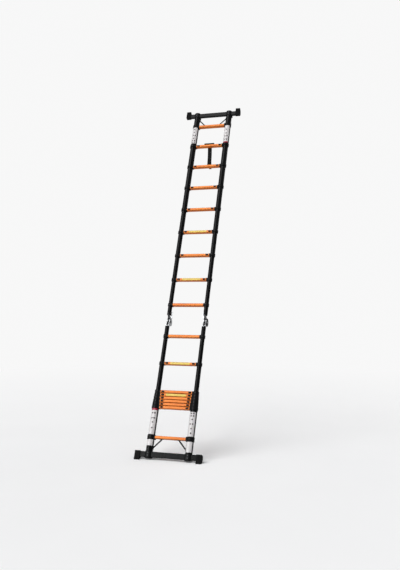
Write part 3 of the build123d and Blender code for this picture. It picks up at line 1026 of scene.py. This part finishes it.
@dataclass
class CarryStrap:
    """The webbing on the upper half's second rung: a folded hank and two hanging ends."""

    shop: Shop
    width: float = 0.050
    tip_width: float = 0.030
    end_drop: float = 0.244
    drop: float = 0.262
    thickness: float = 0.0018
    hank_length: float = 0.120
    hank_depth: float = 0.018
    hank_middle_y: float = 3.5 * MM
    sway: float = 3 * MM
    layers: int = 5

    def build(self) -> None:
        """Makes the hank and both ends, which stand for the CAD strap."""
        ends = [
            self._hanging_end("carry_strap_end", self.width, self.end_drop, -0.010, 0.0040),
            self._hanging_end("carry_strap_tip", self.tip_width, self.drop, 0.006, 0.0070),
        ]
        hank, hank_flat = self._hank()
        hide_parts("carry_strap")
        back = self.shop.layout.matrix(Side.LOWER).to_3x3() @ Vector((0, 1, 0))
        anchor = self._rung_place(Vector((0, self.shop.layout.rung_depth / 2, 0)))
        for piece in [*ends, hank]:
            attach(piece, "upper_stage_1")
            LOG.info("made %s", piece.name)
        for end, width, drop in zip(ends, (self.width, self.tip_width), (self.end_drop, self.drop)):
            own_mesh(end)

    def _rung_place(self, shift: Vector) -> Vector:
        """A place near the strap's rung, in the row frame.

        Args:
            shift: the place from the rung's centre, in the upper half's own frame.

        Returns:
            The place in the row frame.
        """
        up = self.shop.layout.rung_height_up(Side.UPPER, 2)
        return self.shop.layout.matrix(Side.UPPER) @ (Vector((0, 0, up)) + shift)

    def _ribbon(
        self, name: str, path: list[Vector], across: Vector, width: float, columns: int
    ) -> Piece:
        """A ribbon of webbing along a path, with its UV map in metres.

        Args:
            name: the piece's name.
            path: points along its middle, in the row frame.
            across: the direction of its width.
            width: how wide it is.
            columns: how many faces lie across it.

        Returns:
            The ribbon, thickened.
        """
        mesh = bmesh.new()
        layer = mesh.loops.layers.uv.new(WebbingFinish.layer)
        lengths = [0.0]
        for before, after in zip(path, path[1:]):
            lengths.append(lengths[-1] + (after - before).length)
        shares = [(column / columns - 0.5) * width for column in range(columns + 1)]
        rows = [[mesh.verts.new(place + across * share) for share in shares] for place in path]
        for index in range(len(rows) - 1):
            for column in range(columns):
                corners = (
                    (index, column), (index, column + 1), (index + 1, column + 1),
                    (index + 1, column),
                )
                face = mesh.faces.new([rows[i][j] for i, j in corners])
                for loop, (i, j) in zip(face.loops, corners):
                    loop[layer].uv = (shares[j], lengths[i])
        data = bpy.data.meshes.new(name)
        mesh.to_mesh(data)
        mesh.free()
        piece = bpy.data.objects.new(name, data)
        bpy.context.scene.collection.objects.link(piece)
        skin = piece.modifiers.new("skin", "SOLIDIFY")
        skin.thickness = self.thickness
        skin.offset = 0
        Bench.apply(piece, skin)
        Bench.bevel(piece, self.thickness * 0.3, 2, 60)
        Bench.smooth(piece, 50)
        piece.data.materials.clear()
        piece.data.materials.append(self.shop.finishes.webbing)
        return piece

    def _hanging_end(
        self, name: str, width: float, drop: float, drift: float, behind: float
    ) -> Piece:
        """One end of the webbing, which hangs plumb behind the rung with a slight sway.

        Args:
            name: the piece's name.
            width: how wide it is.
            drop: how far it hangs.
            drift: how far it strays sideways by its bottom.
            behind: its distance from the rung's back.

        Returns:
            The ribbon.
        """
        depth = self.shop.layout.rung_depth / 2
        start = self._rung_place(Vector((0, depth + behind, 0)))
        steps = 40
        path = []
        for index in range(steps + 1):
            share = index / steps
            sway = self.sway * math.sin(share * math.tau * 0.75)
            path.append(start + Vector((drift * share ** 1.5, sway, -drop * share)))
        return self._ribbon(name, path, Vector((1, 0, 0)), width, 12)

    def _hank(self) -> tuple[Piece, float]:
        """Webbing folded to and fro on the side of the rung that faces the feet.

        Returns:
            The hank, and the length of webbing in it.
        """
        layout = self.shop.layout
        pitch = (self.hank_depth - self.thickness) / self.layers
        bottom = -layout.rung_height / 2 - self.thickness
        half = self.hank_length / 2 - pitch / 2
        turns = 6
        path = []
        for index in range(self.layers):
            sign = 1 if index % 2 else -1
            level = bottom - index * pitch
            for step in range(9):
                x = sign * half * (1 - step / 4)
                path.append(self._rung_place(Vector((x, self.hank_middle_y, level))))
            if index == self.layers - 1:
                break
            for step in range(1, turns):
                angle = math.pi * step / turns
                x = -sign * (half + pitch / 2 * math.sin(angle))
                rise = pitch / 2 * (1 - math.cos(angle))
                path.append(self._rung_place(Vector((x, self.hank_middle_y, level - rise))))
        length = sum((after - before).length for before, after in zip(path, path[1:]))
        back = layout.matrix(Side.LOWER).to_3x3() @ Vector((0, 1, 0))
        return self._ribbon("carry_strap_hank", path, back, self.width, 10), length


@dataclass
class Studio:
    """Floor, light and camera."""

    camera_place: Triple = (1.9303, -5.6776, 1.6097)
    camera_turn: float = math.radians(15.813)
    camera_tilt: float = math.radians(0.805)
    lens: float = 39.13
    sensor: float = 36
    floor_size: float = 80
    gloss_aim: Triple = (0, 0.9, 1.9)
    surround: Triple = (0.935, 0.935, 0.935)
    fade: Pair = (1.5, 8.0)

    def build(self) -> None:
        """Sets the stage."""
        self._floor()
        self._world()
        self._sun("key_light", (-0.50, -0.60, 0.90), 2.4, 50)
        self._sun("fill_light", (0.7, 0.5, 1.0), 0.5, 70)
        self._gloss("stripe_light", (-3.8, -4.4, 2.2), (1.4, 4.5), 260)
        self._camera()

    def _floor(self) -> None:
        """A wide pale floor, which fades into the surround far from the ladder."""
        Bench.clear_selection()
        bpy.ops.mesh.primitive_plane_add(size=self.floor_size, location=(0, 0, 0))
        floor = bpy.context.active_object
        floor.name = "studio_floor"
        nodes = Nodes("pale_floor")
        clouds = nodes.noise(nodes.object_space((0.8,) * 3), 1.0, 2.0)
        nodes.link(
            nodes.ramp(clouds, 0.2, 0.8, (0.93, 0.93, 0.93), (0.95, 0.95, 0.95)),
            nodes.shader.inputs["Base Color"],
        )
        nodes.shader.inputs["Roughness"].default_value = 0.85
        nodes.shader.inputs["Specular IOR Level"].default_value = 0.0
        place = nodes.add("ShaderNodeTexCoord")
        away = nodes.add("ShaderNodeVectorMath", operation="LENGTH")
        nodes.link(place.outputs["Object"], away.inputs[0])
        surround = nodes.add("ShaderNodeEmission")
        surround.inputs["Color"].default_value = (*self.surround, 1)
        blend = nodes.add("ShaderNodeMixShader")
        nodes.link(nodes.span(away.outputs["Value"], 0, 1, self.fade), blend.inputs["Fac"])
        nodes.link(nodes.shader.outputs["BSDF"], blend.inputs[1])
        nodes.link(surround.outputs["Emission"], blend.inputs[2])
        nodes.link(blend.outputs["Shader"], nodes.output.inputs["Surface"])
        floor.data.materials.append(nodes.material)

    def _world(self) -> None:
        """A white surround, which lights the ladder less than it shows."""
        world = bpy.data.worlds.new("studio")
        bpy.context.scene.world = world
        world.use_nodes = True
        tree = world.node_tree
        shown = tree.nodes["Background"]
        shown.inputs["Color"].default_value = (*self.surround, 1)
        lighting = tree.nodes.new("ShaderNodeBackground")
        lighting.inputs["Color"].default_value = (0.96, 0.97, 1.0, 1)
        lighting.inputs["Strength"].default_value = 0.24
        ray = tree.nodes.new("ShaderNodeLightPath")
        choice = tree.nodes.new("ShaderNodeMixShader")
        tree.links.new(ray.outputs["Is Camera Ray"], choice.inputs["Fac"])
        tree.links.new(lighting.outputs["Background"], choice.inputs[1])
        tree.links.new(shown.outputs["Background"], choice.inputs[2])
        tree.links.new(choice.outputs["Shader"], tree.nodes["World Output"].inputs["Surface"])
        bpy.context.scene.view_settings.view_transform = "Standard"

    def _sun(self, name: str, towards: Triple, power: float, spread: float) -> None:
        """A wide soft sun, which lights the whole floor alike.

        Args:
            name: the light's name.
            towards: the direction from the ladder to the light.
            power: its strength.
            spread: its width, in degrees.
        """
        light = self._light(name, "SUN", power, Vector(towards).to_track_quat("Z", "Y"))
        light.data.angle = math.radians(spread)

    def _gloss(self, name: str, place: Triple, size: Pair, power: float) -> None:
        """An upright panel that shows in gloss and adds nothing to matt surfaces.

        Args:
            name: the light's name.
            place: where it stands, in metres.
            size: its width and height.
            power: its strength in watts.
        """
        aim = Vector(self.gloss_aim) - Vector(place)
        light = self._light(name, "AREA", power, aim.to_track_quat("-Z", "Y"))
        light.data.shape = "RECTANGLE"
        light.data.size, light.data.size_y = size
        light.visible_diffuse = False
        light.visible_camera = False
        light.location = place

    @staticmethod
    def _light(name: str, kind: str, power: float, turn: Quaternion) -> Piece:
        """Adds a light of one kind, turned by a quaternion."""
        data = bpy.data.lights.new(name, kind)
        data.energy = power
        light = bpy.data.objects.new(name, data)
        bpy.context.scene.collection.objects.link(light)
        light.rotation_mode = "QUATERNION"
        light.rotation_quaternion = turn
        return light

    def _camera(self) -> None:
        """A level camera at standing eye height, to the right of the ladder."""
        data = bpy.data.cameras.new("camera")
        data.lens = self.lens
        data.sensor_width = self.sensor
        camera = bpy.data.objects.new("camera", data)
        bpy.context.scene.collection.objects.link(camera)
        camera.location = self.camera_place
        camera.rotation_euler = (math.pi / 2 + self.camera_tilt, 0, self.camera_turn)
        bpy.context.scene.camera = camera


def corners(box: Iterable[Vector]) -> list[list[float]]:
    """A box's two corners as plain lists."""
    return [list(corner) for corner in box]


def main() -> None:
    """Builds the whole model."""
    logging.basicConfig(level=logging.INFO, format="%(name)s: %(message)s")
    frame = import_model()
    layout = Layout.from_frame(frame)
    shop = Shop(frame, layout, Finishes(layout))
    for assembly in (Rails, Rungs, TubeLabels, Feet, Hinges, CarryStrap):
        assembly(shop).build()
    Studio().build()
    Bench.clear_selection()


if __name__ == "__main__":
    main()
